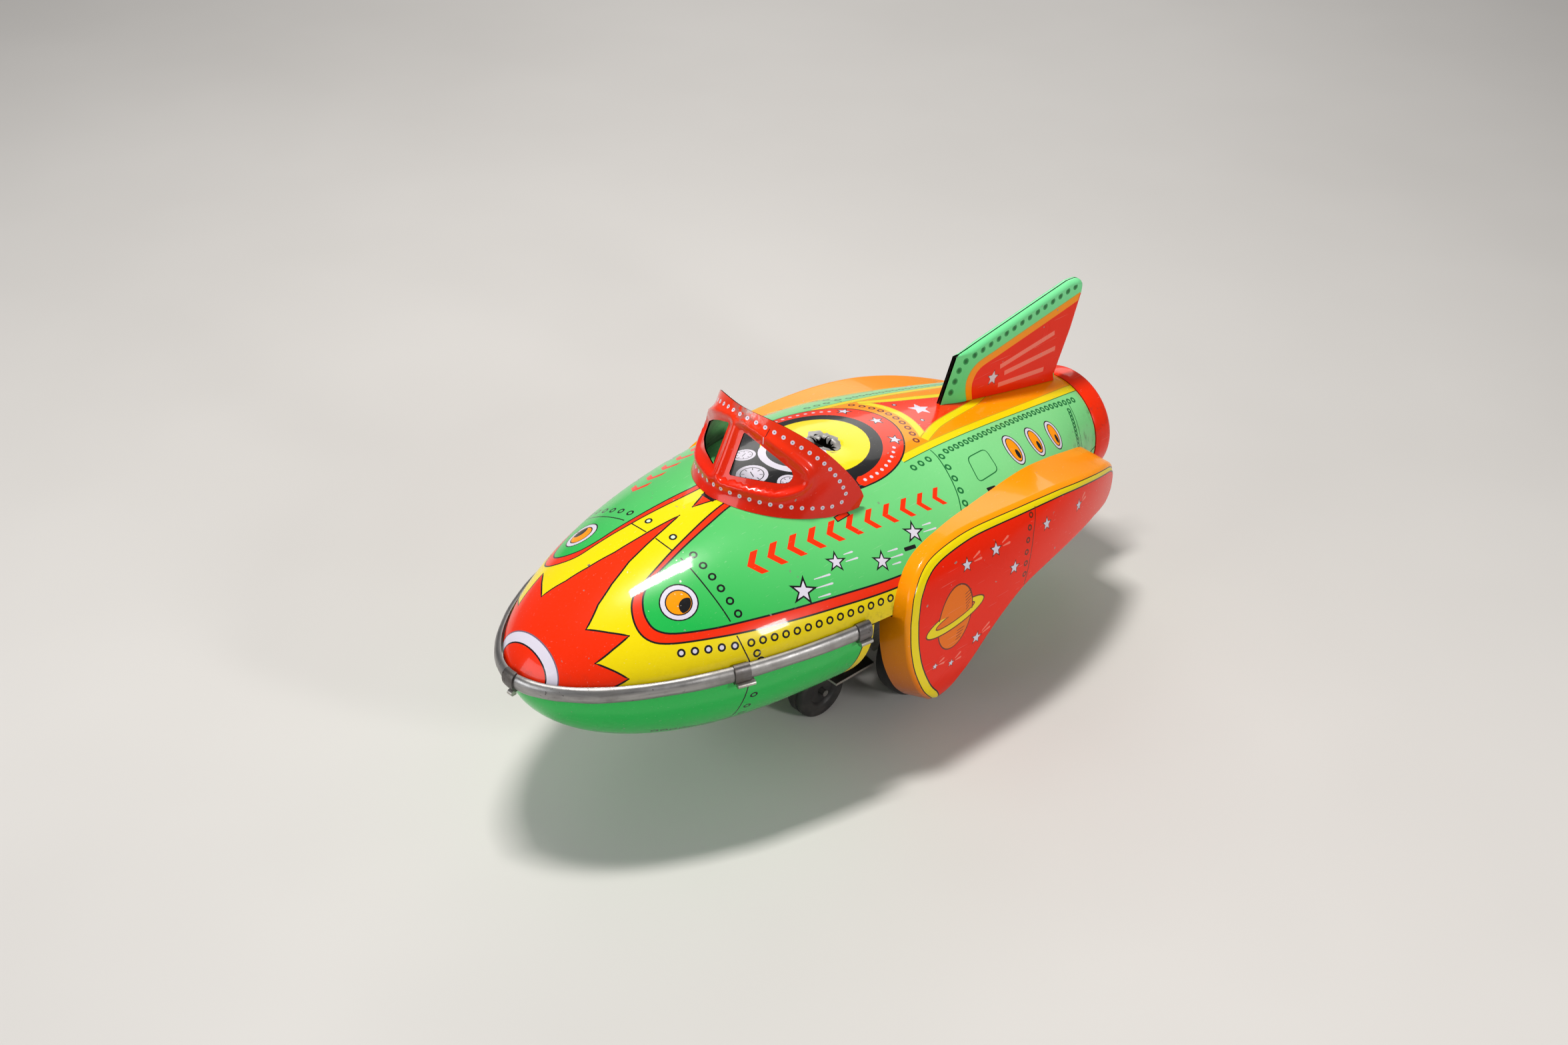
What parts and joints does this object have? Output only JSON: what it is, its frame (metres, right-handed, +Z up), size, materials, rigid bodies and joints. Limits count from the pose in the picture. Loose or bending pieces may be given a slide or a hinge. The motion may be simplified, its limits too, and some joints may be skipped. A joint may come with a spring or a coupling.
{
  "type": "tin space rocket toy",
  "caption": "Friction-drive tin toy rocket: pressed hull halves with seam trim, windshield, tail fin, two side pods, and a flywheel drive on small wheels.",
  "frame": {"origin": "on the ground, under the middle of the toy's box in X and Y", "axes": "+Z up, the nose points along -Y, +X towards the pilot's left hand"},
  "size_m": [0.08, 0.1778, 0.0803],
  "materials": {
    "green_litho": "glossy lithographed tin",
    "red_litho": "glossy lithographed tin",
    "orange_litho": "glossy lithographed tin",
    "bare_tin": "bare tinplate, slightly worn",
    "dark_steel": "dull oiled steel",
    "brass": "stamped brass",
    "flywheel_metal": "cast, lightly turned",
    "black_rubber": "matt moulded rubber"
  },
  "bodies": {
    "shell": {"upper_hull": "green_litho", "lower_hull": "green_litho", "rear_belly": "green_litho", "windshield": "red_litho", "fin_left": "red_litho", "fin_right": "red_litho", "pod_left": "orange_litho", "pod_right": "orange_litho", "tail_ring": "red_litho", "seam_trim": "bare_tin", "trim_clip_nose": "dark_steel", "trim_clip_mid_left": "dark_steel", "trim_clip_mid_right": "dark_steel", "trim_clip_rear_left": "dark_steel", "trim_clip_rear_right": "dark_steel", "motor_plate_left": "bare_tin", "motor_plate_right": "bare_tin", "frame_strap_front": "bare_tin", "frame_strap_rear": "bare_tin", "frame_pillar_front": "dark_steel", "frame_pillar_top": "dark_steel", "frame_pillar_low": "dark_steel", "front_bracket": "bare_tin", "front_bracket_ear_left": "bare_tin", "front_bracket_ear_right": "bare_tin"},
    "drive_wheels": {"rear_axle": "dark_steel", "drive_tyre_left": "black_rubber", "drive_tyre_right": "black_rubber", "drive_hub_left": "bare_tin", "drive_hub_right": "bare_tin", "drive_gear": "brass"},
    "counter_train": {"counter_shaft": "dark_steel", "counter_pinion": "brass", "counter_gear": "brass"},
    "flywheel_train": {"flywheel_shaft": "dark_steel", "flywheel_pinion": "brass", "flywheel": "flywheel_metal"},
    "front_wheels": {"front_axle": "dark_steel", "front_wheel_left": "black_rubber", "front_wheel_right": "black_rubber"}
  },
  "joints": [
    {"name": "rear_axle_spin", "type": "hinge", "parent": "shell", "child": "drive_wheels", "pos_m": [0, 0.011, 0.013], "axis": [1, 0, 0], "continuous": true},
    {"name": "counter_spin", "type": "hinge", "parent": "shell", "child": "counter_train", "pos_m": [0, 0.017, 0.02339], "axis": [1, 0, 0], "continuous": true},
    {"name": "flywheel_spin", "type": "hinge", "parent": "shell", "child": "flywheel_train", "pos_m": [0, 0.01375, 0.03232], "axis": [1, 0, 0], "continuous": true},
    {"name": "front_wheel_spin", "type": "hinge", "parent": "shell", "child": "front_wheels", "pos_m": [0, -0.0135, 0.007], "axis": [1, 0, 0], "continuous": true}
  ],
  "couplings": [
    {"joint": "counter_spin", "follows": "rear_axle_spin", "ratio": -3},
    {"joint": "flywheel_spin", "follows": "rear_axle_spin", "ratio": 8.4}
  ]
}
